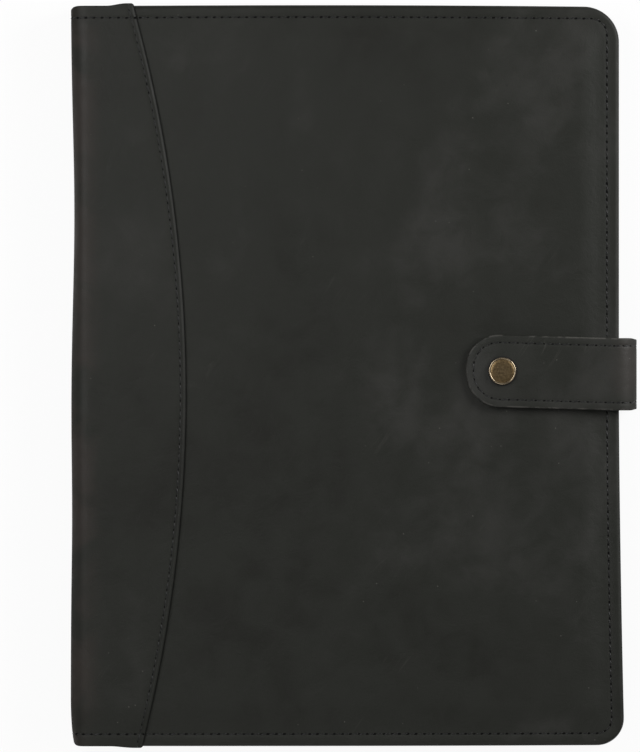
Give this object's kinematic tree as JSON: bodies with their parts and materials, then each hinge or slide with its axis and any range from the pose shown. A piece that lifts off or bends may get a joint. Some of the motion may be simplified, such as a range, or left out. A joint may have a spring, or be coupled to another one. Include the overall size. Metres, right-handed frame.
{
  "type": "leather padfolio",
  "caption": "Leather padfolio with a curved spine overlay, a wrap-round strap that snaps onto the front cover, inner pockets, a pen loop and a writing pad.",
  "frame": {"origin": "middle of the closed padfolio's footprint, strap included, on the surface that it lies on", "axes": "+X from the spine to the fore-edge, +Y from the foot to the head, +Z out of the front cover"},
  "size_m": [0.262, 0.343, 0.029],
  "materials": {
    "cover_leather": "oiled pull-up leather, smooth, satin",
    "inner_leather": "smooth dyed leather, matt",
    "lining_cloth": "plain weave cotton",
    "board": "grey board, matt",
    "snap_brass": "antique brass, dull with a rubbed rim",
    "pad_card": "uncoated card",
    "pad_paper": "uncoated writing paper",
    "binding_tape": "cloth binding tape"
  },
  "bodies": {
    "back_cover": {"back_cover_leather": "cover_leather", "back_cover_board": "board", "back_cover_lining": "lining_cloth", "back_wing": "cover_leather", "pad_sleeve": "inner_leather", "pen_loop": "inner_leather", "strap_root": "cover_leather"},
    "spine": {"spine_wrap": "cover_leather", "spine_lining": "lining_cloth"},
    "front_cover": {"front_cover_leather": "cover_leather", "front_cover_board": "board", "front_cover_lining": "lining_cloth", "front_wing": "cover_leather", "document_pocket": "inner_leather", "card_slot_upper": "inner_leather", "card_slot_middle": "inner_leather", "card_slot_lower": "inner_leather", "snap_stud": "snap_brass", "snap_post": "snap_brass"},
    "strap_web": {"strap_web_face": "cover_leather", "strap_web_lining": "inner_leather"},
    "strap_tab": {"strap_tab_face": "cover_leather", "strap_tab_lining": "inner_leather", "snap_cap": "snap_brass", "snap_socket": "snap_brass"},
    "notepad": {"pad_back_card": "pad_card", "pad_paper": "pad_paper", "pad_binding": "binding_tape"}
  },
  "joints": [
    {"name": "spine_fold", "type": "hinge", "parent": "back_cover", "child": "spine", "pos_m": [-0.12891, 0, 0.00209], "axis": [0, -1, 0], "range_deg": [0, 90]},
    {"name": "cover_fold", "type": "hinge", "parent": "spine", "child": "front_cover", "pos_m": [-0.12891, 0, 0.02111], "axis": [0, -1, 0], "range_deg": [0, 90]},
    {"name": "strap_lower_bend", "type": "hinge", "parent": "back_cover", "child": "strap_web", "pos_m": [0.12891, 0, 0.00209], "axis": [0, 1, 0], "range_deg": [0, 90]},
    {"name": "strap_upper_bend", "type": "hinge", "parent": "strap_web", "child": "strap_tab", "pos_m": [0.12759, 0, 0.02409], "axis": [0, 1, 0], "range_deg": [0, 90]},
    {"name": "pad_slide", "type": "slide", "parent": "back_cover", "child": "notepad", "axis": [0, 1, 0], "range_m": [0, 0.19]}
  ]
}
